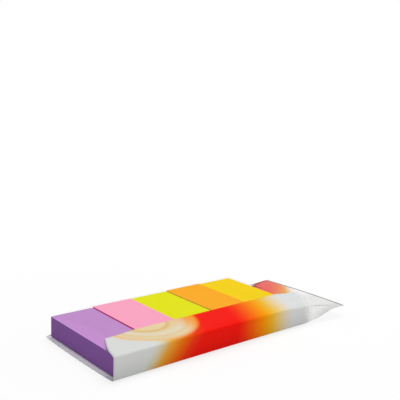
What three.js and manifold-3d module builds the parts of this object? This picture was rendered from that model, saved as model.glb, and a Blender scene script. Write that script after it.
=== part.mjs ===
// A set of sticky index tabs: five pads of coloured page markers, side by side in an open-ended sleeve of
// printed film. The sleeve comes together past the last pad, where its far end is welded flat.
// Units are millimetres. +Z is up, +X runs along the row of pads towards the sleeve's welded end, and
// +Y points to the back. The origin is on the surface that the set lies on, under its middle.
import * as THREE from "three";
import { mergeVertices } from "three/addons/utils/BufferGeometryUtils.js";
import Module from "manifold-3d";

const wasm = await Module();
wasm.setup();

// One pad of a hundred sheets, and the gap between two pads
const padWidth = 19.8;
const padLength = 50;
const padGap = 0.2;

// The height of each block of sheets, which differs a little with the thickness of the paper
const purpleHeight = 8.5;
const pinkHeight = 9;
const limeHeight = 8.85;
const orangeHeight = 9.2;
const yellowHeight = 8.85;

// The pads from the sleeve's open end
const pads = [
  { name: "pad_purple", height: purpleHeight, color: 0x9a68ad },
  { name: "pad_pink", height: pinkHeight, color: 0xf58cb2 },
  { name: "pad_lime", height: limeHeight, color: 0xd9e021 },
  { name: "pad_orange", height: orangeHeight, color: 0xf9a12e },
  { name: "pad_yellow", height: yellowHeight, color: 0xf5cf0a },
];

// The sleeve's film, and the room that it leaves round the pads
const filmWall = 0.2;
const seatGap = 0.1;
const roomAbove = 0.2;
const roomBehind = 0.4;
const roomInFront = 1.8;
const foldRadius = 0.6;
const foldSteps = 4;

// The open mouth: its floor bows out past the pads, its back wall is cut back, and its top has a thumb notch
const mouthReach = 2;
const floorBow = 0.6;
const backCut = 4.2;
const backCutHeight = 1.4;
const notchDepth = 7.5;
const notchSteps = 9;

// The closed end: the film comes together over the taper, faster at the back than at the front,
// and the fold of each side stands out as an ear
const taperGap = 0.4;
const taperLength = 25.6;
const taperSteps = 10;
const backDrop = 0.3;
const frontDrop = 0.9;
const floorRise = 1.8;
const frontEar = 2.3;
const backEar = 0.4;

// The weld: a flat strip, whose front end lies higher and further in than its back end
const weldLength = 3.6;
const weldStep = 0.4;
const weldFrontHeight = 4.9;
const weldBackHeight = 2.9;
const weldSkew = 3.8;

// Places that follow from the sizes above
const tallestPad = Math.max(...pads.map((pad) => pad.height));
const rowLength = pads.length * padWidth + (pads.length - 1) * padGap;
const padBottom = filmWall + seatGap;
const sleeveHeight = padBottom + tallestPad + roomAbove + filmWall;
const sleeveWidth = roomBehind + padLength + roomInFront + 2 * filmWall;
const halfWidth = sleeveWidth / 2;
const sleeveY = (frontEar - backEar) / 2;
const padMiddle = sleeveY + halfWidth - filmWall - roomBehind - padLength / 2;
const mouthTip = mouthReach + floorBow;
const setLength = mouthTip + rowLength + taperGap + taperLength + weldLength;
const mouthX = -setLength / 2;
const rowX = mouthX + mouthTip;
const taperX = rowX + rowLength + taperGap;
const weldX = taperX + taperLength;
const endX = weldX + weldLength;
const cutMargin = 2;

// A closed mesh as a solid that can be cut
function solidOf(geometry) {
  const bare = geometry.clone();
  bare.deleteAttribute("normal");
  bare.deleteAttribute("uv");
  const merged = mergeVertices(bare, 1e-5);
  return new wasm.Manifold(
    new wasm.Mesh({
      numProp: 3,
      vertProperties: new Float32Array(merged.attributes.position.array),
      triVerts: new Uint32Array(merged.index.array),
    }),
  );
}

// A cut solid as a geometry with flat faces
function geometryOf(solid) {
  const mesh = solid.getMesh();
  const geometry = new THREE.BufferGeometry();
  geometry.setAttribute("position", new THREE.BufferAttribute(new Float32Array(mesh.vertProperties), 3));
  geometry.setIndex(new THREE.BufferAttribute(new Uint32Array(mesh.triVerts), 1));
  const flat = geometry.toNonIndexed();
  flat.computeVertexNormals();
  return flat;
}

// The points that round one corner of an outline, from its neighbour before to its neighbour after
function roundCorner(before, corner, after, radius) {
  const toBefore = before.clone().sub(corner).normalize();
  const toAfter = after.clone().sub(corner).normalize();
  const halfAngle = Math.acos(THREE.MathUtils.clamp(toBefore.dot(toAfter), -1, 1)) / 2;
  const inward = toBefore.clone().add(toAfter).normalize();
  const centre = corner.clone().addScaledVector(inward, radius / Math.sin(halfAngle));
  const reach = radius / Math.tan(halfAngle);
  const start = corner.clone().addScaledVector(toBefore, reach).sub(centre).angle();
  const end = corner.clone().addScaledVector(toAfter, reach).sub(centre).angle();
  const turn = Math.atan2(Math.sin(end - start), Math.cos(end - start));
  return Array.from({ length: foldSteps + 1 }, (_, step) => {
    const angle = start + (turn * step) / foldSteps;
    return new THREE.Vector2(centre.x + radius * Math.cos(angle), centre.y + radius * Math.sin(angle));
  });
}

// A section's outline about its own middle: four rounded folds and the crease of an ear at each side
function sectionOutline(halfHeight, earShare, inset) {
  const width = halfWidth - inset;
  const height = halfHeight - inset;
  const ears = (earShare * height) / halfHeight;
  const corners = [
    new THREE.Vector2(-width, -height),
    new THREE.Vector2(width, -height),
    new THREE.Vector2(width + backEar * ears, 0),
    new THREE.Vector2(width, height),
    new THREE.Vector2(-width, height),
    new THREE.Vector2(-width - frontEar * ears, 0),
  ];
  const radius = Math.min(foldRadius - inset, height * 0.4);
  return corners.flatMap((corner, index) => {
    const isEar = index % 3 === 2;
    const before = corners[(index + corners.length - 1) % corners.length];
    const after = corners[(index + 1) % corners.length];
    return isEar ? [corner] : roundCorner(before, corner, after, radius);
  });
}

// The middle of the film's section and half its height, with share from 0 where the taper starts to 1
// at the weld, and room for two films, one on the other, growing with it
function filmHeights(share, towardsFront, room) {
  const weldHeight = THREE.MathUtils.lerp(weldBackHeight, weldFrontHeight, towardsFront);
  const dropped = share ** THREE.MathUtils.lerp(backDrop, frontDrop, towardsFront);
  const top = THREE.MathUtils.lerp(sleeveHeight, weldHeight, dropped) + room * share;
  const floor = weldHeight * share ** floorRise - room * share;
  return { middle: (top + floor) / 2, half: (top - floor) / 2 };
}

// A ring of the film in space
function filmRing(x, share, inset, room) {
  const typical = filmHeights(share, 0.5, room).half;
  return sectionOutline(typical, share, inset).map((point) => {
    const towardsFront = (halfWidth - point.x) / sleeveWidth;
    const local = filmHeights(share, towardsFront, room);
    const up = (point.y * (local.half - inset)) / (typical - inset);
    return new THREE.Vector3(x - weldSkew * share * towardsFront, sleeveY + point.x, local.middle + up);
  });
}

// The rings of the whole tube, or of the hollow inside it when inset is the film's wall
function filmRings(inset) {
  const openRoom = 1.5 * filmWall;
  const mouth = inset ? mouthX - cutMargin : mouthX;
  const rings = [filmRing(mouth, 0, inset, openRoom)];
  for (let step = 0; step <= taperSteps; step += 1) {
    const share = step / taperSteps;
    rings.push(filmRing(taperX + taperLength * share, share, inset, openRoom));
  }
  if (!inset) {
    rings.push(filmRing(weldX + weldStep, 1, inset, filmWall));
    rings.push(filmRing(endX, 1, inset, filmWall));
  }
  return rings;
}

// A closed solid through a row of rings, with a fan of triangles over each end
function loft(rings) {
  const triangles = [];
  const count = rings[0].length;
  for (let ring = 0; ring + 1 < rings.length; ring += 1) {
    for (let index = 0; index < count; index += 1) {
      const next = (index + 1) % count;
      const [near, far] = [rings[ring], rings[ring + 1]];
      triangles.push(near[index], near[next], far[next], near[index], far[next], far[index]);
    }
  }
  const centreOf = (ring) => ring.reduce((sum, point) => sum.add(point), new THREE.Vector3()).divideScalar(count);
  const first = rings[0];
  const last = rings[rings.length - 1];
  const [firstCentre, lastCentre] = [centreOf(first), centreOf(last)];
  for (let index = 0; index < count; index += 1) {
    const next = (index + 1) % count;
    triangles.push(firstCentre, first[next], first[index], lastCentre, last[index], last[next]);
  }
  return solidOf(new THREE.BufferGeometry().setFromPoints(triangles));
}

// An upright prism from an outline in X and Y
function prism(points, low, high) {
  const geometry = new THREE.ExtrudeGeometry(new THREE.Shape(points), { depth: high - low, bevelEnabled: false });
  geometry.translate(0, 0, low);
  return solidOf(geometry);
}

// The room outside a mouth edge, given as how far each point of the width lies in from the tip
function mouthRoom(depthAt, low) {
  const points = [];
  for (let step = 0; step <= 2 * notchSteps; step += 1) {
    const across = step / notchSteps - 1;
    points.push(new THREE.Vector2(mouthX + depthAt(across), sleeveY + (halfWidth + cutMargin) * across));
  }
  points.push(new THREE.Vector2(mouthX - cutMargin, sleeveY + halfWidth + cutMargin));
  points.push(new THREE.Vector2(mouthX - cutMargin, sleeveY - halfWidth - cutMargin));
  return prism(points, low, sleeveHeight + cutMargin);
}

// The room outside the back wall's mouth edge, which slants in from the floor and then goes straight up
function backRoom() {
  const low = mouthX + floorBow;
  const high = low + backCut;
  const wall = new THREE.Shape([
    new THREE.Vector2(mouthX - cutMargin, 0),
    new THREE.Vector2(low, 0),
    new THREE.Vector2(high, backCutHeight),
    new THREE.Vector2(high, sleeveHeight + cutMargin),
    new THREE.Vector2(mouthX - cutMargin, sleeveHeight + cutMargin),
  ]);
  const geometry = new THREE.ExtrudeGeometry(wall, { depth: foldRadius + cutMargin, bevelEnabled: false });
  geometry.rotateX(Math.PI / 2);
  geometry.translate(0, sleeveY + halfWidth + cutMargin, 0);
  return solidOf(geometry);
}

function makeSleeve() {
  const floorEdge = (across) => floorBow * across * across;
  const cutAt = (across) => (backCut * (1 + across)) / 2;
  const notchEdge = (across) => floorBow + cutAt(across) + (notchDepth * (1 + Math.cos(Math.PI * across))) / 2;
  const solid = loft(filmRings(0))
    .subtract(loft(filmRings(filmWall)))
    .subtract(mouthRoom(floorEdge, -cutMargin))
    .subtract(mouthRoom(notchEdge, sleeveHeight - foldRadius))
    .subtract(backRoom());
  const material = new THREE.MeshStandardMaterial({ color: 0xe3321c, roughness: 0.25, metalness: 0 });
  const sleeve = new THREE.Mesh(geometryOf(solid), material);
  sleeve.name = "film_sleeve";
  return sleeve;
}

function makePad(pad, index) {
  const material = new THREE.MeshStandardMaterial({ color: pad.color, roughness: 0.75, metalness: 0 });
  const block = new THREE.Mesh(new THREE.BoxGeometry(padWidth, padLength, pad.height), material);
  block.position.set(rowX + padWidth / 2 + index * (padWidth + padGap), padMiddle, padBottom + pad.height / 2);
  block.name = pad.name;
  return block;
}

const indexTabs = new THREE.Group();
indexTabs.add(makeSleeve());
pads.forEach((pad, index) => indexTabs.add(makePad(pad, index)));

export default indexTabs;
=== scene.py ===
"""Looks of a set of sticky index tabs: five pads of page markers in a printed film sleeve.

The sleeve lies on a pale floor with its open mouth at the left and its welded end at the right.
Sizes of the set are written in millimetres and turned to metres where a mesh is made.
"""

from __future__ import annotations

import logging
import math
import random
from dataclasses import dataclass, field
from functools import reduce
from typing import Iterable

import bmesh
import bpy
from mathutils import Matrix, Vector

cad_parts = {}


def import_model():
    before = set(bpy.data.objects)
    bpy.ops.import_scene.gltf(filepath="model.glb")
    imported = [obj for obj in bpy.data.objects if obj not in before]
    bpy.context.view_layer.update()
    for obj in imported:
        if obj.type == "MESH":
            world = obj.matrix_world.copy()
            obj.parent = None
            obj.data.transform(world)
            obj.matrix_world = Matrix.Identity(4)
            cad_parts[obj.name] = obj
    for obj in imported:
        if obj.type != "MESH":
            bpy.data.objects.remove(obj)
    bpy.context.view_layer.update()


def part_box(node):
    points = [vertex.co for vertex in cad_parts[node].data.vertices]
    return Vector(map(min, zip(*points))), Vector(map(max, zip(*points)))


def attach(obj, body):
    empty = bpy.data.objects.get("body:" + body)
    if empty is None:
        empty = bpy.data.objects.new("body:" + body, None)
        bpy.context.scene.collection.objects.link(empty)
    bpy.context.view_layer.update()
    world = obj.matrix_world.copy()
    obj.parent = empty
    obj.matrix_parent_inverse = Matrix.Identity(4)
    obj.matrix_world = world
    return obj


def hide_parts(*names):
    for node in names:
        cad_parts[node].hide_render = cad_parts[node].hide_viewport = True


LOG = logging.getLogger("index_tabs")
MM = 0.001
BODY = "root"
SLEEVE_NODE = "film_sleeve"
UV_SCALE = 100.0
WHITE = "#FFFFFF"
TOP_SHEET_SLOT = 1
INSIDE_SLOT = 1
CUT_EDGE_SLOT = 2
Socket = bpy.types.NodeSocket


def linear(hex_colour: str) -> tuple[float, float, float, float]:
    """Turns an sRGB hex colour such as "#C090C8" to linear RGBA.

    Args:
        hex_colour: Six hex digits after a hash sign.

    Returns:
        The linear red, green and blue, and an alpha of 1.
    """
    values = [int(hex_colour[i : i + 2], 16) / 255 for i in (1, 3, 5)]
    channels = [v / 12.92 if v <= 0.04045 else ((v + 0.055) / 1.055) ** 2.4 for v in values]
    return (channels[0], channels[1], channels[2], 1.0)


def clamp(share: float) -> float:
    """The share held between 0 and 1."""
    return min(max(share, 0.0), 1.0)


def smooth_share(value: float, low: float, high: float) -> float:
    """How far value has gone from low to high, from 0 to 1, with a soft start and end."""
    share = clamp((value - low) / (high - low))
    return share * share * (3 - 2 * share)


def mix(low: float, high: float, share: float) -> float:
    """The value that lies share of the way from low to high."""
    return low + (high - low) * share


class NodeTree:
    """The node tree of a material or a world, with one call to add a node, set it and link it."""

    def __init__(self, owner: bpy.types.Material | bpy.types.World) -> None:
        """Starts an empty tree in this material or world."""
        self.owner = owner
        owner.use_nodes = True
        self.tree = owner.node_tree
        self.tree.nodes.clear()

    @classmethod
    def for_material(cls, name: str) -> NodeTree:
        """An empty tree in a new material with this name."""
        return cls(bpy.data.materials.new(name))

    def add(
        self, kind: str, settings: dict[str, object] | None = None, **links: object
    ) -> bpy.types.Node:
        """Adds one node.

        Args:
            kind: The node's type, such as "ShaderNodeMath".
            settings: Properties of the node itself, such as its operation.
            **links: Inputs by name, with _ for a space, or by number as in_0. A socket is
                linked and a value is set.

        Returns:
            The new node.
        """
        node = self.tree.nodes.new(kind)
        for key, value in (settings or {}).items():
            setattr(node, key, value)
        for key, value in links.items():
            place = int(key[3:]) if key.startswith("in_") else key.replace("_", " ")
            socket = node.inputs[place]
            if isinstance(value, bpy.types.NodeSocket):
                self.tree.links.new(value, socket)
            else:
                socket.default_value = value
        return node

    def math(self, operation: str, first: object, second: object = 0.0, third: object = 0.0) -> Socket:
        """The result of one sum or comparison of up to three values or sockets."""
        settings = {"operation": operation}
        return self.add("ShaderNodeMath", settings, in_0=first, in_1=second, in_2=third).outputs[0]

    def product(self, *factors: object) -> Socket:
        """All the factors multiplied with one another."""
        return reduce(lambda first, second: self.math("MULTIPLY", first, second), factors)

    def step(self, value: object, low: float, high: float, kind: str = "SMOOTHSTEP") -> Socket:
        """A step of value, from 0 at low to 1 at high, soft unless its kind is LINEAR."""
        settings = {"interpolation_type": kind}
        return self.add("ShaderNodeMapRange", settings, Value=value, From_Min=low, From_Max=high).outputs[0]

    def ramp(self, factor: Socket, stops: Iterable[tuple[float, str]]) -> Socket:
        """Colours along a factor from 0 to 1.

        Args:
            factor: The socket that drives the colour.
            stops: Each stop's place from 0 to 1 and its hex colour.

        Returns:
            The colour socket.
        """
        node = self.add("ShaderNodeValToRGB", in_0=factor)
        elements = node.color_ramp.elements
        for index, (place, colour) in enumerate(stops):
            element = elements[index] if index < 2 else elements.new(place)
            element.position = place
            element.color = linear(colour)
        return node.outputs[0]

    def blend(self, share: object, first: Socket, second: object) -> Socket:
        """The colour that lies share of the way from the first to the second."""
        settings = {"data_type": "RGBA"}
        return self.add("ShaderNodeMix", settings, in_0=share, in_6=first, in_7=second).outputs[2]

    def cover(self, share: object, below: bpy.types.Node, above: bpy.types.Node) -> bpy.types.Node:
        """One shader with a share of another over it."""
        return self.add("ShaderNodeMixShader", Fac=share, in_1=below.outputs[0], in_2=above.outputs[0])

    def finish(self, surface: bpy.types.Node) -> bpy.types.Material:
        """Links the surface to the output and returns the material."""
        self.add("ShaderNodeOutputMaterial", Surface=surface.outputs[0])
        return self.owner


@dataclass(frozen=True)
class PadPaper:
    """Uncoated coloured note paper: matt, with a faint fibre, and a separate colour at its cut edges that
    is partly the paper's own and partly painted light and shade.
    """

    name: str
    face: str
    edge: str
    fibre_mm: float = 0.35
    cloud_mm: float = 9.0
    cloud_depth: float = 0.06
    cloud_least: float = 0.97
    sheet_line_mm: float = 0.32
    line_depth: float = 0.3
    line_least: float = 0.84
    ior: float = 1.45

    def face_material(self) -> bpy.types.Material:
        """The top sheet: nearly even colour with soft clouds and a fine fibre grain."""
        tree = NodeTree.for_material(f"{self.name} note paper")
        place = tree.add("ShaderNodeTexCoord").outputs["Object"]
        cloud = tree.add("ShaderNodeTexNoise", Vector=place, Scale=1000 / self.cloud_mm, Detail=3.0)
        fibre = tree.add("ShaderNodeTexNoise", Vector=place, Scale=1000 / self.fibre_mm, Detail=4.0)
        value = tree.math("MULTIPLY_ADD", cloud.outputs[0], self.cloud_depth, self.cloud_least)
        colour = tree.add("ShaderNodeHueSaturation", Color=linear(self.face), Value=value)
        bump = tree.add("ShaderNodeBump", Height=fibre.outputs[0], Strength=0.25, Distance=0.02 * MM)
        return self._matt(tree, colour, bump, roughness=0.72, gloss=0.02)

    def edge_material(self) -> bpy.types.Material:
        """The cut edges, with fine level lines where sheet lies on sheet."""
        tree = NodeTree.for_material(f"{self.name} cut paper edges")
        place = tree.add("ShaderNodeTexCoord").outputs["Object"]
        height = tree.add("ShaderNodeSeparateXYZ", Vector=place).outputs["Z"]
        waver = tree.add("ShaderNodeTexNoise", Vector=place, Scale=1000 / self.cloud_mm, Detail=2.0)
        layer = tree.math("MULTIPLY_ADD", height, 1000 / self.sheet_line_mm, waver.outputs[0])
        lines = tree.add("ShaderNodeTexNoise", {"noise_dimensions": "1D"}, W=layer, Scale=1.0, Detail=2.0)
        value = tree.math("MULTIPLY_ADD", lines.outputs[0], self.line_depth, self.line_least)
        colour = tree.add("ShaderNodeHueSaturation", Color=linear(self.edge), Value=value)
        bump = tree.add("ShaderNodeBump", Height=lines.outputs[0], Strength=0.5, Distance=0.04 * MM)
        return self._matt(tree, colour, bump, roughness=0.8, gloss=0.08)

    def _matt(
        self, tree: NodeTree, colour: bpy.types.Node, bump: bpy.types.Node, roughness: float, gloss: float
    ) -> bpy.types.Material:
        """Matt paper with this colour and relief."""
        shader = tree.add(
            "ShaderNodeBsdfPrincipled",
            Base_Color=colour.outputs[0],
            Roughness=roughness,
            IOR=self.ior,
            Specular_IOR_Level=gloss,
            Normal=bump.outputs[0],
        )
        return tree.finish(shader)


@dataclass(frozen=True)
class PrintedFilm:
    """Clear polypropylene film, gravure printed on one side and see-through where no ink lies.

    The colours run along the film and lean across it. Distances are in millimetres, along the film
    from the first pad's left side, and round it from the front top fold: more than 0 on the top and
    less than 0 on the front wall, the floor and the back wall. Two numbers together are a fade, from
    where it starts to where it is complete. The fades of a ripple are shares of its radius.
    """

    wall_height: float
    top_width: float

    # Where the printed band ends across the film and along it
    band_width: float = 17.6
    band_growth: float = 0.4
    last_pad_end: float = 100.0
    soft_edge: float = 0.5
    band_end: float = 102.5
    band_fade: float = 4.0
    end_lean: float = 0.78
    back_wall_ink: tuple[float, float] = (115.0, 121.0)

    # How the band's colours lean near the mouth and further along, and how they shift on the underside,
    # whose far part is painted paler as painted light and whose ink is a little see-through
    field_length: float = 100.0
    lean: float = 0.7
    far_lean: float = 0.43
    far_start: tuple[float, float] = (40.0, 60.0)
    under_reach: float = 46.0
    under_shift: float = 64.5
    under_end_shift: float = 33.0
    under_start: tuple[float, float] = (20.0, 60.0)
    under_light_share: float = 0.3
    under_light_colour: str = "#F6A49C"
    under_clear: float = 0.06

    # The ripples near the mouth, each with its middle along and across and its radius
    outer_ripple: tuple[float, float, float] = (28.2, 21.0, 20.2)
    inner_ripple: tuple[float, float, float] = (26.0, 21.0, 9.2)
    ripple_rim: tuple[float, float] = (1.06, 0.92)
    ripple_front: tuple[float, float] = (-3.5, 2.0)
    crest_inside: tuple[float, float] = (0.84, 1.0)
    crest_outside: tuple[float, float] = (1.22, 1.02)
    crest_share: float = 0.65
    crest_colour: str = "#DDB26C"
    glow_start: tuple[float, float] = (34.0, 46.0)
    glow_share: float = 0.9
    glow_colour: str = "#F79A18"

    # The lip at the mouth, painted white as painted light, the front wall's painted shade towards its foot
    # and the painted shadow line along the bottom fold
    lip_light_start: tuple[float, float] = (2.0, 0.0)
    floor_start: float = 1.5
    wall_top: float = -1.0
    wall_foot_shade: float = 0.13
    fold_reach: tuple[float, float] = (0.8, 0.1)
    fold_shadow_depth: float = 0.32

    # The bare film: its gloss, the painted shade lines along its empty folds and the grey painted shade of
    # its clear end
    clear_tint: tuple[float, float, float, float] = (0.987, 0.987, 0.986, 1.0)
    gloss_colour: str = "#D8DAD8"
    gloss_share: float = 0.018
    least_gloss: float = 0.001
    shade_grey_colour: str = "#8E8E8A"
    crease: float = 0.5
    crease_shade_share: float = 0.5
    crease_start: tuple[float, float] = (98.0, 112.0)
    end_shade_share: float = 0.1
    end_shade_start: tuple[float, float] = (100.0, 116.0)
    end_shade_back: tuple[float, float] = (28.0, 14.0)
    end_shade_floor: tuple[float, float] = (-16.0, -11.0)

    # White, orange, red and back to white, along the band
    band_colours: tuple[tuple[float, str], ...] = (
        (0.0, "#DADCDA"),
        (0.165, "#D9DBD8"),
        (0.205, "#DCCBA2"),
        (0.24, "#E9A83A"),
        (0.3, "#EC7410"),
        (0.36, "#F03A10"),
        (0.41, "#F41A0C"),
        (0.585, "#F7140A"),
        (0.625, "#F63608"),
        (0.67, "#F66006"),
        (0.71, "#F78002"),
        (0.75, "#F69E02"),
        (0.79, "#EEB82C"),
        (0.83, "#EACA7C"),
        (0.87, "#E6D6B8"),
        (0.91, "#DEDFDD"),
        (1.0, "#DCDEDD"),
    )

    # Tan and cream, from the middle of the outer ripple to its rim
    ripple_colours: tuple[tuple[float, str], ...] = (
        (0.3, "#E8D2A4"),
        (0.5, "#E6CC9C"),
        (0.62, "#E2D6B8"),
        (0.7, "#E2D8C0"),
        (0.78, "#E6C894"),
        (0.86, "#E2D4B2"),
        (0.94, "#ECC288"),
        (1.0, "#EEC890"),
    )

    def outside(self) -> bpy.types.Material:
        """The film's outer face with its printed band."""
        tree = NodeTree.for_material("printed clear film")
        along, across = self._place(tree)
        under = tree.step(across, -self.wall_height, -self.wall_height - self.under_reach, "LINEAR")
        far_under = tree.product(under, tree.step(along, *self.under_start))
        printed = tree.add(
            "ShaderNodeBsdfPrincipled",
            Base_Color=self._colour(tree, along, across, under, far_under),
            Roughness=0.42,
            IOR=1.4,
            Specular_IOR_Level=0.03,
            Coat_Weight=0.01,
            Coat_Roughness=0.08,
        )
        ink = self._ink(tree, along, across, under, far_under)
        return tree.finish(tree.cover(ink, self._bare_film(tree, along, across), printed))

    def inside(self) -> bpy.types.Material:
        """The film's inner face, which carries no ink, so the print shows through it."""
        tree = NodeTree.for_material("clear film inside")
        along, across = self._place(tree)
        return tree.finish(self._bare_film(tree, along, across))

    def _place(self, tree: NodeTree) -> tuple[Socket, Socket]:
        """Where a point lies along the film and round it, in millimetres."""
        film = tree.add("ShaderNodeUVMap", {"uv_map": "film"}).outputs[0]
        place = tree.add("ShaderNodeSeparateXYZ", Vector=film)
        return tuple(tree.math("MULTIPLY", place.outputs[axis], UV_SCALE) for axis in "XY")

    def _ring(
        self, tree: NodeTree, along: Socket, across: Socket, ring: tuple[float, float, float]
    ) -> Socket:
        """How far each point lies from a ring's middle, as a share of the ring's radius."""
        aside = tree.math("SUBTRACT", along, ring[0])
        ahead = tree.math("SUBTRACT", across, ring[1])
        square = tree.math("MULTIPLY_ADD", aside, aside, tree.product(ahead, ahead))
        return tree.math("DIVIDE", tree.math("SQRT", square), ring[2])

    def _band(self, tree: NodeTree, along: Socket, across: Socket, under: Socket) -> Socket:
        """The band's colour, from white over orange to red and back to white."""
        near = tree.math("MULTIPLY", tree.math("MAXIMUM", across, -self.wall_height), self.lean)
        far = tree.math("MULTIPLY", tree.math("MAXIMUM", across, 0.0), self.far_lean)
        turn = tree.step(along, *self.far_start)
        lean = tree.add("ShaderNodeMix", in_0=turn, in_2=near, in_3=far).outputs[0]
        shift = tree.math("MULTIPLY_ADD", under, self.under_shift, lean)
        place = tree.math("DIVIDE", tree.math("SUBTRACT", along, shift), self.field_length)
        return tree.ramp(place, self.band_colours)

    def _colour(
        self, tree: NodeTree, along: Socket, across: Socket, under: Socket, far_under: Socket
    ) -> Socket:
        """The ink's colour: the band with its ripples, the underside painted paler as painted light, the
        lip painted white as painted light, painted shade towards the wall's foot and a painted shadow line
        along the bottom fold.
        """
        outer = self._ring(tree, along, across, self.outer_ripple)
        inner = self._ring(tree, along, across, self.inner_ripple)
        crest = tree.product(tree.step(inner, *self.crest_inside), tree.step(inner, *self.crest_outside))
        rings = tree.ramp(outer, self.ripple_colours)
        tan = tree.blend(tree.product(crest, self.crest_share), rings, linear(self.crest_colour))
        warm = tree.product(tree.step(along, *self.glow_start), self.glow_share)
        glow = tree.blend(warm, tan, linear(self.glow_colour))
        inside = tree.product(tree.step(outer, *self.ripple_rim), tree.step(across, *self.ripple_front))
        colour = tree.blend(inside, self._band(tree, along, across, under), glow)
        # Painted light: the far underside is mixed towards a paler colour to lift its shade.
        under_lit = tree.blend(tree.product(far_under, self.under_light_share), colour, linear(self.under_light_colour))
        floor = tree.step(across, -self.wall_height, -self.wall_height - self.floor_start)
        # Painted light: the lip at the mouth is mixed to white to lift its shade.
        lip_light = tree.product(tree.step(along, *self.lip_light_start), floor)
        # Painted shadow: the ink darkens in a line along the bottom fold, where the film meets the floor.
        to_floor = tree.math("ABSOLUTE", tree.math("ADD", across, self.wall_height))
        fold_shadow_value = tree.math("MULTIPLY_ADD", tree.step(to_floor, *self.fold_reach), -self.fold_shadow_depth, 1.0)
        # Painted shade: the front wall's ink darkens towards its foot.
        down = tree.step(across, self.wall_top, -self.wall_height)
        shaded_foot = tree.product(down, tree.math("SUBTRACT", 1.0, floor))
        value = tree.math("MULTIPLY_ADD", shaded_foot, -self.wall_foot_shade, fold_shadow_value)
        white = tree.blend(lip_light, under_lit, linear(WHITE))
        return tree.add("ShaderNodeHueSaturation", Color=white, Value=value).outputs[0]

    def _ink(
        self, tree: NodeTree, along: Socket, across: Socket, under: Socket, far_under: Socket
    ) -> Socket:
        """Where ink covers the film, from 0 on bare film to 1 under full ink."""
        past_pads = tree.math("MAXIMUM", tree.math("SUBTRACT", along, self.last_pad_end), 0.0)
        above = tree.math("SUBTRACT", across, tree.product(past_pads, self.band_growth))
        band = tree.step(above, self.band_width + self.soft_edge, self.band_width - self.soft_edge)
        lean = tree.product(tree.math("MAXIMUM", across, 0.0), self.end_lean)
        back = tree.product(under, self.under_end_shift)
        end = tree.math("SUBTRACT", tree.math("SUBTRACT", along, lean), back)
        before_end = tree.step(end, self.band_end + self.band_fade, self.band_end - self.band_fade)
        from_back = tree.math("ADD", across, self.wall_height + self.top_width)
        not_back_wall = tree.step(from_back, -self.soft_edge, self.soft_edge)
        panels = tree.math("MAXIMUM", not_back_wall, tree.step(along, *self.back_wall_ink))
        cover = tree.math("MULTIPLY_ADD", far_under, -self.under_clear, 1.0)
        return tree.product(band, panels, before_end, cover)

    def _bare_film(self, tree: NodeTree, along: Socket, across: Socket) -> bpy.types.Node:
        """Film without ink: see-through and glossier at a flat angle.

        Each empty fold shows a fine grey line of painted shade, and the clear end near the front is greyed
        with painted shade.
        """
        clear = tree.add("ShaderNodeBsdfTransparent", Color=self.clear_tint)
        colour = linear(self.gloss_colour)
        gloss = tree.add("ShaderNodeBsdfPrincipled", Base_Color=colour, Roughness=0.1, IOR=1.5)
        facing = tree.add("ShaderNodeFresnel", IOR=1.42).outputs[0]
        shine = tree.math("MULTIPLY_ADD", facing, self.gloss_share, self.least_gloss)
        film = tree.cover(shine, clear, gloss)
        # Painted shade: a grey line along each empty fold, and grey over the clear end near the front.
        to_top = tree.math("ABSOLUTE", across)
        to_floor = tree.math("ABSOLUTE", tree.math("ADD", across, self.wall_height))
        at_fold = tree.step(tree.math("MINIMUM", to_top, to_floor), self.crease, 0.0)
        crease = tree.product(at_fold, tree.step(along, *self.crease_start), self.crease_shade_share)
        near_front = tree.product(tree.step(across, *self.end_shade_back), tree.step(across, *self.end_shade_floor))
        end_shade = tree.product(tree.step(along, *self.end_shade_start), near_front, self.end_shade_share)
        grey = tree.add("ShaderNodeBsdfDiffuse", Color=linear(self.shade_grey_colour))
        return tree.cover(tree.math("MAXIMUM", crease, end_shade), film, grey)


def cut_film_edge(grey_share: float = 0.6) -> bpy.types.Material:
    """The film's cut edge, where light that runs inside the film leaves it: a faint grey line."""
    tree = NodeTree.for_material("cut film edge")
    clear = tree.add("ShaderNodeBsdfTransparent")
    grey = tree.add("ShaderNodeBsdfPrincipled", Base_Color=linear("#9A9C9A"), Roughness=0.5)
    return tree.finish(tree.cover(grey_share, clear, grey))


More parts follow.
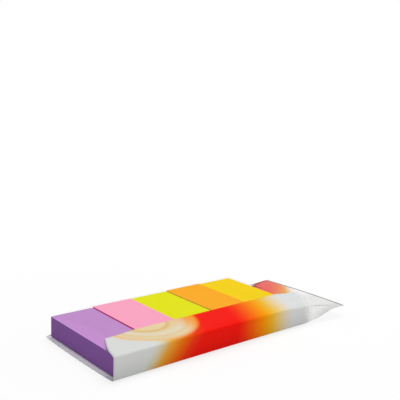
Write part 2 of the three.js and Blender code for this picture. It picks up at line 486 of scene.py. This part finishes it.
class Loft:
    """A tube of quads that grows ring by ring from one loop of edges."""

    def __init__(self, first: list[Vector]) -> None:
        """Starts the tube with its first ring, in millimetres."""
        self.bm = bmesh.new()
        self.ring = [self.bm.verts.new(point * MM) for point in first]
        self.place = {vert: (0, index) for index, vert in enumerate(self.ring)}
        self.rows = 1
        for pair in self.pairs():
            self.bm.edges.new(pair)

    def pairs(self) -> list[tuple[bmesh.types.BMVert, bmesh.types.BMVert]]:
        """Each point of the last ring with the one that follows it."""
        return list(zip(self.ring, self.ring[1:] + self.ring[:1]))

    def grow(self, points: list[Vector]) -> None:
        """Extrudes the last ring and moves its copy to the given points, in millimetres."""
        edges = [self.bm.edges.get(pair) for pair in self.pairs()]
        made = bmesh.ops.extrude_edge_only(self.bm, edges=edges)["geom"]
        fresh = {vert for vert in made if isinstance(vert, bmesh.types.BMVert)}
        ring = []
        for index, old in enumerate(self.ring):
            new = next(e.other_vert(old) for e in old.link_edges if e.other_vert(old) in fresh)
            new.co = points[index] * MM
            self.place[new] = (self.rows, index)
            ring.append(new)
        self.ring = ring
        self.rows += 1

    def cap(self, ring: list[bmesh.types.BMVert]) -> bmesh.types.BMFace:
        """Closes one ring with a single face."""
        return self.bm.faces.new(ring)

    def object(self, name: str, materials: list[bpy.types.Material], smooth: bool) -> bpy.types.Object:
        """Turns the tube into an object at the origin with these materials.

        Args:
            name: The object's name.
            materials: Its material slots in order.
            smooth: Whether its faces are shaded smooth.

        Returns:
            The new object, linked to the scene.
        """
        bmesh.ops.recalc_face_normals(self.bm, faces=self.bm.faces[:])
        for face in self.bm.faces:
            face.smooth = smooth
        mesh = bpy.data.meshes.new(name)
        self.bm.to_mesh(mesh)
        self.bm.free()
        for material in materials:
            mesh.materials.append(material)
        piece = bpy.data.objects.new(name, mesh)
        bpy.context.scene.collection.objects.link(piece)
        return piece


@dataclass
class Pad:
    """One pad: a block of sheets cut together, whose edges lie a hair apart from sheet to sheet."""

    colour: str
    paper: PadPaper
    seed: int
    layer_mm: float = 0.16
    groove_mm: float = 0.03
    wander_mm: float = 0.035
    corner_mm: float = 0.35
    corner_steps: int = 3

    # The rings of each layer: how many grooves deep each lies, and how far up the layer
    layer_rings: tuple[tuple[float, float], ...] = ((0.5, 0.25), (0.5, 0.75), (1.5, 1.0))
    foot_depth: float = 2.0
    top_depth: float = 0.9

    def node(self) -> str:
        """The name of the CAD node that this pad stands for."""
        return f"pad_{self.colour}"

    def outline(
        self, low: Vector, high: Vector, inset: float, shift: tuple[float, float], z: float
    ) -> list[Vector]:
        """One sheet's outline with small round corners.

        Args:
            low: The pad's lowest corner, in millimetres like all the rest.
            high: Its highest corner.
            inset: How far in from the pad's sides the sheet ends.
            shift: How far the sheet lies to the side and back.
            z: The sheet's height.

        Returns:
            The outline's points.
        """
        reach = self.corner_mm + inset
        points = []
        for x, y, side_x, side_y, start in (
            (low.x, low.y, 1, 1, 180),
            (high.x, low.y, -1, 1, 270),
            (high.x, high.y, -1, -1, 0),
            (low.x, high.y, 1, -1, 90),
        ):
            centre_x = x + side_x * reach + shift[0]
            centre_y = y + side_y * reach + shift[1]
            for step in range(self.corner_steps + 1):
                angle = math.radians(start + 90 * step / self.corner_steps)
                aside, ahead = self.corner_mm * math.cos(angle), self.corner_mm * math.sin(angle)
                points.append(Vector((centre_x + aside, centre_y + ahead, z)))
        return points

    def build(self) -> bpy.types.Object:
        """Stacks the sheets and dresses the block."""
        low, high = (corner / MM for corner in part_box(self.node()))
        draw = random.Random(self.seed)
        layers = max(round((high.z - low.z) / self.layer_mm), 1)
        thickness = (high.z - low.z) / layers
        loft = Loft(self.outline(low, high, self.foot_depth * self.groove_mm, (0, 0), low.z))
        first = list(loft.ring)
        lean = [draw.uniform(-1, 1) * self.wander_mm for _ in range(2)]
        for layer in range(layers):
            shift = (lean[0] * draw.uniform(-1, 1), lean[1] * draw.uniform(-1, 1))
            bottom = low.z + layer * thickness
            for depth, share in self.layer_rings:
                if layer == layers - 1 and share == 1.0:
                    depth = self.top_depth
                inset = depth * self.groove_mm
                loft.grow(self.outline(low, high, inset, shift, bottom + share * thickness))
        loft.cap(first)
        top = loft.cap(loft.ring)
        top.material_index = TOP_SHEET_SLOT
        materials = [self.paper.edge_material(), self.paper.face_material()]
        piece = loft.object(f"{self.colour}_pad_sheets", materials, smooth=False)
        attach(piece, BODY)
        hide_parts(self.node())
        return piece


@dataclass
class Sleeve:
    """The film sleeve: a tube round the pads, with a thumb notch at its mouth and a flat weld at its end.

    Sizes are in millimetres. Fields without a value are taken from the frame.
    """

    # The film and its folds, whose radius is at most a share of half the height
    wall: float = 0.1
    fold_radius: float = 0.9
    fold_share: float = 0.45
    fold_lift: float = 0.25

    # How finely each part is divided
    fold_steps: int = 6
    panel_steps: int = 44
    side_steps: int = 5
    straight_steps: int = 40
    taper_steps: int = 40
    weld_steps: int = 12
    mouth_steps: int = 10

    # The mouth, and how softly its floor, back wall and top run into one another
    floor_bow: float = 0.6
    back_cut: float = 4.2
    back_cut_height: float = 1.4
    notch_depth: float = 7.5
    mouth_band: float = 16.0
    floor_reach: tuple[float, float] = (0.05, 0.6)
    wall_reach: tuple[float, float] = (1.2, 0.3)
    top_skin: float = 0.05

    # The taper: powers for how fast its top comes down and its floor rises, and its ears
    taper_length: float = 25.6
    back_drop: float = 0.18
    middle_drop: float = 0.25
    front_drop: float = 0.9
    back_dip: float = 0.9
    back_dip_power: int = 4
    floor_rise: float = 1.8
    front_ear: float = 2.3
    back_ear: float = 0.4
    ear_turn: float = 75.0

    # The weld, with fine ridges across it
    weld_length: float = 3.6
    weld_half: float = 0.2
    weld_press: float = 0.7
    weld_ridge: float = 0.06
    weld_ridges: float = 4.0
    ridge_start: tuple[float, float] = (0.1, 0.3)
    weld_front_height: float = 4.9
    weld_back_height: float = 2.9
    weld_skew: float = 3.8
    weld_bow: float = 0.8

    # How far the film sags in front of the pads and on the first pad, and where along the row
    top_share: float = 0.6
    floor_share: float = 0.3
    droop: tuple[float, float] = (0.2, 1.3)
    droop_start: tuple[float, float] = (86.0, 103.0)
    droop_power: int = 3
    first_pad_sag: float = 0.75
    sag_reach: tuple[float, float] = (1.0, 14.0)
    sag_end: tuple[float, float] = (6.0, 22.0)

    # The taper's buckles: each one's height, its turn across, where it starts and its turn along
    buckles: tuple[tuple[float, float, float, float], ...] = (
        (0.22, 0.42, 1.3, 0.0),
        (0.16, 0.93, 0.0, 2.2),
    )
    floor_buckle: float = 0.4
    lowest: float = 0.02

    box_low: Vector = field(init=False)
    row_left: float = field(init=False)
    pad_front: float = field(init=False)
    height: float = field(init=False)
    front: float = field(init=False)
    back: float = field(init=False)
    middle: float = field(init=False)
    width: float = field(init=False)
    end: float = field(init=False)
    weld_start: float = field(init=False)
    taper_start: float = field(init=False)

    def __post_init__(self) -> None:
        """Takes the sleeve's place and outer size from the frame."""
        self.box_low, box_high = (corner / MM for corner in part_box(SLEEVE_NODE))
        first_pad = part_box("pad_purple")[0] / MM
        self.row_left = first_pad.x
        self.pad_front = first_pad.y
        self.height = box_high.z
        self.front = self.box_low.y + self.front_ear
        self.back = box_high.y - self.back_ear
        self.middle = (self.front + self.back) / 2
        self.width = self.back - self.front
        self.end = box_high.x
        self.weld_start = self.end - self.weld_length
        self.taper_start = self.weld_start - self.taper_length

    @property
    def seam(self) -> int:
        """The place in a section of the middle of its back top fold."""
        return self.fold_steps + self.panel_steps + self.fold_steps // 2

    def section(self, half_height: float, ears: float) -> list[tuple[float, float]]:
        """The film's outline about its own middle at one place, front to back and back again.

        Args:
            half_height: Half the height between the top and the bottom panel.
            ears: How far the side folds stand out, from 0 to 1.

        Returns:
            The points across and up, with the same count at every place.
        """
        half = self.width / 2
        radius = min(self.fold_radius, half_height * self.fold_share)
        inner = half - radius
        lift = half_height - radius
        spread = 90 - self.ear_turn * ears * (1 - half_height / (self.height / 2))
        turned = math.radians(90 - spread)
        below = (inner + radius * math.cos(turned), -lift - radius * math.sin(turned))
        front_fold = (-half - self.front_ear * ears, 0)
        back_fold = (half + self.back_ear * ears, 0)
        ring: list[tuple[float, float]] = []

        def arc(centre: tuple[float, float], start: float, end: float) -> None:
            """Adds a round fold from one angle to another."""
            for step in range(self.fold_steps + 1):
                angle = math.radians(mix(start, end, step / self.fold_steps))
                ring.append((centre[0] + radius * math.cos(angle), centre[1] + radius * math.sin(angle)))

        def line(start: tuple[float, float], end: tuple[float, float], steps: int) -> None:
            """Adds the points between two ends."""
            for step in range(1, steps):
                share = step / steps
                ring.append((mix(start[0], end[0], share), mix(start[1], end[1], share)))

        arc((-inner, lift), 90 + spread, 90)
        line((-inner, half_height), (inner, half_height), self.panel_steps)
        arc((inner, lift), 90, 90 - spread)
        line(ring[-1], back_fold, self.side_steps)
        ring.append(back_fold)
        line(back_fold, below, self.side_steps)
        arc((inner, -lift), spread - 90, -90)
        line((inner, -half_height), (-inner, -half_height), self.panel_steps)
        arc((-inner, -lift), -90, -90 - spread)
        line(ring[-1], front_fold, self.side_steps)
        ring.append(front_fold)
        line(front_fold, ring[0], self.side_steps)
        return ring

    def girth(self) -> tuple[list[float], float]:
        """How far round the film each point of a section lies from the front top fold.

        Returns:
            The distances, less than 0 down the front and under the pads, and the whole way round.
        """
        flat = self.section(self.height / 2, 0)
        lengths = [0.0]
        for (y0, z0), (y1, z1) in zip(flat, flat[1:] + flat[:1]):
            lengths.append(lengths[-1] + math.hypot(y1 - y0, z1 - z0))
        total = lengths.pop()
        fold = lengths[self.fold_steps // 2]
        past_seam = [total if index > self.seam else 0 for index in range(len(lengths))]
        return [length - fold - less for length, less in zip(lengths, past_seam)], total

    def heights_at(self, share: float, towards_front: float) -> tuple[float, float]:
        """The middle of the film's section and half its height.

        Args:
            share: How far along the taper, from 0 to 1 at the weld.
            towards_front: How far from the back fold to the front fold, from 0 to 1.

        Returns:
            The middle's height and half the section's height there.
        """
        weld = mix(self.weld_back_height, self.weld_front_height, towards_front)
        inside = clamp(towards_front)
        middle = self.middle_drop * math.sin(math.pi * inside)
        dropped = share ** (mix(self.back_drop, self.front_drop, towards_front) + middle)
        dip = self.back_dip * math.sin(math.pi * share) * (1 - inside) ** self.back_dip_power
        top = mix(self.height, weld, dropped) - dip + self.weld_half * share
        floor = weld * share**self.floor_rise - self.weld_half * share
        return (top + floor) / 2, (top - floor) / 2

    def ring_at(self, x: float, share: float, squeeze: float = 1.0) -> list[Vector]:
        """One ring of the film in space at a place along the sleeve.

        Args:
            x: The place of its back end, in millimetres.
            share: How far along the taper it lies.
            squeeze: How far its height is pressed together, from 1 for not at all.

        Returns:
            The ring's points, in millimetres.
        """
        typical = self.heights_at(share, 0.5)[1]
        points = []
        for across, up in self.section(typical, share):
            towards_front = (self.width / 2 - across) / self.width
            middle, half = self.heights_at(share, towards_front)
            bow = self.weld_bow * share * math.sin(math.pi * clamp(towards_front))
            place = x - self.weld_skew * share * towards_front + bow
            height = middle + squeeze * up * half / typical
            points.append(Vector((place, self.middle + across, height)))
        return points

    def mouth_edge(self, y: float, z: float) -> float:
        """How far in from the tip of the mouth's floor the film starts at a point of its section."""
        across = (y - self.middle) / (self.width / 2)
        across = min(max(across, -1.0), 1.0)
        floor = self.floor_bow * across * across
        cut = self.back_cut * (1 + across) / 2
        notch = self.floor_bow + cut + self.notch_depth * (1 + math.cos(math.pi * across)) / 2
        top = smooth_share(z, self.height - self.fold_radius, self.height - self.top_skin)
        back_wall = smooth_share(y, *(self.back - reach for reach in self.wall_reach))
        side = self.floor_bow + back_wall * self.back_cut * min(z / self.back_cut_height, 1.0)
        return mix(max(floor, side * smooth_share(z, *self.floor_reach)), notch, top)

    def relax(self, point: Vector, share: float) -> Vector:
        """Lets the film sag where no pad carries it, and buckle softly where it comes together.

        Args:
            point: A point of the taut film.
            share: How far along the taper it lies.

        Returns:
            The point where the film comes to rest.
        """
        x, y, z = point
        along = x - self.row_left
        pad_edge, over_pad = (self.pad_front + reach for reach in self.sag_reach)
        top = smooth_share(z, self.height * self.top_share, self.height)
        to_fold = 1 - smooth_share(y, self.front, pad_edge)
        droop = mix(*self.droop, smooth_share(along, *self.droop_start))
        z -= top * to_fold * droop * (1 - share) ** self.droop_power
        near_floor = 1 - smooth_share(z, 0, self.height * self.floor_share)
        z += near_floor * to_fold * self.fold_lift * (1 - share)
        on_first_pad = (1 - smooth_share(along, *self.sag_end)) * smooth_share(y, pad_edge, over_pad)
        z -= self.first_pad_sag * top * on_first_pad
        if share <= 0:
            return Vector((x, y, z))
        buckle = sum(
            height * math.sin(y * across + start + share * further)
            for height, across, start, further in self.buckles
        )
        fade = 4 * share * (1 - share)
        z += buckle * fade * mix(self.floor_buckle, 1.0, top)
        return Vector((x, y, max(z, self.lowest)))

    def stations(self) -> list[tuple[float, float]]:
        """Where the rings stand: each one's place along the sleeve and its share of the taper."""
        start = self.box_low.x + self.mouth_band
        steps = range(self.straight_steps + 1)
        places = [(mix(start, self.taper_start, step / self.straight_steps), 0.0) for step in steps]
        for step in range(1, self.taper_steps + 1):
            share = step / self.taper_steps
            places.append((mix(self.taper_start, self.weld_start, share), share))
        return places

    def rings(self) -> list[list[Vector]]:
        """All the film's rings: from its cut mouth along the row, down the taper and over the weld."""
        mouth = self.ring_at(self.box_low.x, 0.0)
        rings = []
        for step in range(self.mouth_steps):
            ring = []
            for point in mouth:
                edge = self.box_low.x + self.mouth_edge(point.y, point.z)
                x = mix(edge, self.box_low.x + self.mouth_band, step / self.mouth_steps)
                ring.append(self.relax(Vector((x, point.y, point.z)), 0.0))
            rings.append(ring)
        for x, share in self.stations():
            rings.append([self.relax(point, share) for point in self.ring_at(x, share)])
        for step in range(1, self.weld_steps + 1):
            share = step / self.weld_steps
            ridge = self.weld_ridge * math.sin(2 * math.pi * self.weld_ridges * share)
            lift = Vector((0, 0, ridge * smooth_share(share, *self.ridge_start)))
            squeeze = mix(1.0, self.weld_press, share)
            flat = self.ring_at(mix(self.weld_start, self.end, share), 1.0, squeeze)
            rings.append([point + lift for point in flat])
        return rings

    def build(self) -> bpy.types.Object:
        """Grows the film from the mouth to the weld, gives it its thickness and dresses it."""
        first, *others = self.rings()
        loft = Loft(first)
        for ring in others:
            loft.grow(ring)
        self.paint_film(loft)
        for face in loft.bm.faces:
            if min(loft.place[vert][0] for vert in face.verts) == loft.rows - 2:
                face.material_index = CUT_EDGE_SLOT
        film = PrintedFilm(self.height, self.width)
        materials = [film.outside(), film.inside(), cut_film_edge()]
        piece = loft.object("printed_film_sleeve", materials, smooth=True)
        shell = piece.modifiers.new("film thickness", "SOLIDIFY")
        shell.thickness = self.wall * MM
        shell.offset = -1.0
        shell.material_offset = INSIDE_SLOT
        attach(piece, BODY)
        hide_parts(SLEEVE_NODE)
        return piece

    def paint_film(self, loft: Loft) -> None:
        """Writes where each point lies on the flat film, along it and round it, to the UV map."""
        girth, total = self.girth()
        layer = loft.bm.loops.layers.uv.new("film")
        for face in loft.bm.faces:
            indices = [loft.place[loop.vert][1] for loop in face.loops]
            crosses = self.seam in indices and self.seam + 1 in indices
            for loop, index in zip(face.loops, indices):
                around = girth[index] - (total if crosses and index == self.seam else 0)
                along = loop.vert.co.x / MM - self.row_left
                loop[layer].uv = (along / UV_SCALE, around / UV_SCALE)


@dataclass
class Studio:
    """A pale floor, an even surround, two soft lamps and the camera at the photograph's angle."""

    azimuth: float = -39.97
    elevation: float = 9.736
    roll: float = 1.938
    focal_px: float = 655.5
    image_px: float = 400.0
    sensor_mm: float = 36.0
    from_pad_corner_mm: tuple[float, float, float] = (-121.2, -238.95, 105.03)
    clip_start_m: float = 0.01
    floor_m: float = 6.0
    floor_gap_mm: float = 0.2
    floor_white: float = 0.95
    shadow_reach_m: float = 0.08
    shadow_fill: float = 0.76
    surround_light: float = 0.38

    def camera(self) -> None:
        """Places the camera as the photograph was taken."""
        turn, tilt, roll = (math.radians(angle) for angle in (self.azimuth, self.elevation, self.roll))
        back = Vector((math.sin(turn) * math.cos(tilt), -math.cos(turn) * math.cos(tilt), math.sin(tilt)))
        level = Vector((math.cos(turn), math.sin(turn), 0))
        upright = back.cross(level)
        right = level * math.cos(roll) + upright * math.sin(roll)
        up = back.cross(right)
        data = bpy.data.cameras.new("camera")
        data.sensor_width = self.sensor_mm
        data.lens = self.focal_px / self.image_px * self.sensor_mm
        data.clip_start = self.clip_start_m
        camera = bpy.data.objects.new("camera", data)
        low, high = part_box("pad_purple")
        corner = Vector((low.x, high.y, 0))
        place = corner + Vector(self.from_pad_corner_mm) * MM
        camera.matrix_world = Matrix.Translation(place) @ Matrix((right, up, back)).transposed().to_4x4()
        bpy.context.scene.collection.objects.link(camera)
        bpy.context.scene.camera = camera

    @staticmethod
    def seen(tree: NodeTree, rays: bpy.types.Node) -> Socket:
        """1 where a ray comes from the camera, straight or through clear film, and 0 elsewhere."""
        return tree.math("MAXIMUM", rays.outputs["Is Camera Ray"], rays.outputs["Is Transmission Ray"])

    def floor(self) -> None:
        """A matt white floor that keeps the soft shadow, and turns pure white to the camera further out."""
        tree = NodeTree.for_material("matt white paper floor")
        place = tree.add("ShaderNodeTexCoord").outputs["Object"]
        distance = tree.add("ShaderNodeVectorMath", {"operation": "LENGTH"}, in_0=place).outputs["Value"]
        far = tree.add(
            "ShaderNodeMapRange",
            {"interpolation_type": "SMOOTHSTEP"},
            Value=distance,
            From_Min=self.shadow_reach_m,
            From_Max=2 * self.shadow_reach_m,
            To_Min=self.shadow_fill,
        ).outputs[0]
        rays = tree.add("ShaderNodeLightPath")
        seen = tree.math("MAXIMUM", self.seen(tree, rays), rays.outputs["Is Glossy Ray"])
        shade = tree.add("ShaderNodeBsdfDiffuse", Color=(*[self.floor_white] * 3, 1.0))
        white = tree.add("ShaderNodeEmission", Color=linear(WHITE), Strength=1.0)
        surface = tree.cover(tree.product(seen, far), shade, white)
        bm = bmesh.new()
        bmesh.ops.create_grid(bm, x_segments=1, y_segments=1, size=self.floor_m / 2)
        bmesh.ops.translate(bm, verts=bm.verts[:], vec=(0, 0, -self.floor_gap_mm * MM))
        mesh = bpy.data.meshes.new("floor")
        bm.to_mesh(mesh)
        bm.free()
        mesh.materials.append(tree.finish(surface))
        floor = bpy.data.objects.new("floor", mesh)
        bpy.context.scene.collection.objects.link(floor)

    def world(self) -> None:
        """An even white surround: full white to the camera and through clear film, softer as a light and in
        gloss.
        """
        world = bpy.data.worlds.new("studio")
        tree = NodeTree(world)
        rays = tree.add("ShaderNodeLightPath")
        seen = self.seen(tree, rays)
        strength = tree.add("ShaderNodeMapRange", Value=seen, To_Min=self.surround_light, To_Max=1.0)
        white = tree.add("ShaderNodeBackground", Color=linear(WHITE), Strength=strength.outputs[0])
        tree.add("ShaderNodeOutputWorld", Surface=white.outputs[0])
        bpy.context.scene.world = world

    def lamp(self, name: str, place: tuple[float, float, float], size: float, watts: float) -> None:
        """A square soft lamp that faces the middle of the set.

        Args:
            name: The lamp's name.
            place: Where it hangs, in metres.
            size: The length of its side, in metres.
            watts: Its power.
        """
        data = bpy.data.lights.new(name, "AREA")
        data.shape = "SQUARE"
        data.size = size
        data.energy = watts
        lamp = bpy.data.objects.new(name, data)
        lamp.location = place
        lamp.rotation_euler = (-Vector(place)).to_track_quat("-Z", "Y").to_euler()
        bpy.context.scene.collection.objects.link(lamp)

    def build(self) -> None:
        """Sets the camera, the floor, the surround, the lamps and the view."""
        self.camera()
        self.floor()
        self.world()
        self.lamp("overhead softbox", (0.25, 0.1, 1.1), 0.9, 9.6)
        self.lamp("front softbox", (-0.5, -0.85, 0.45), 0.6, 1.05)
        bpy.context.scene.view_settings.view_transform = "Standard"


# Each paper's face colour and cut-edge colour. The edge colours are partly the darker colour of the stacked
# sheets and partly painted light and shade, set for the shaded sides.
PAPERS = (
    PadPaper("purple", "#C490CE", "#8E60A8"),
    PadPaper("pink", "#FFA8C6", "#FF4CA8"),
    PadPaper("lime", "#E6E800", "#C8D018"),
    PadPaper("orange", "#FFAE1C", "#FFB850"),
    PadPaper("yellow", "#F8D400", "#D8B000"),
)


def main() -> None:
    """Loads the frame, builds the studio, the pads and the sleeve."""
    logging.basicConfig(level=logging.INFO, format="%(name)s: %(message)s")
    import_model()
    Studio().build()
    pieces = [Pad(paper.name, paper, seed).build() for seed, paper in enumerate(PAPERS)]
    pieces.append(Sleeve().build())
    for piece in pieces:
        LOG.info("%s has %d faces", piece.name, len(piece.data.polygons))


if __name__ == "__main__":
    main()
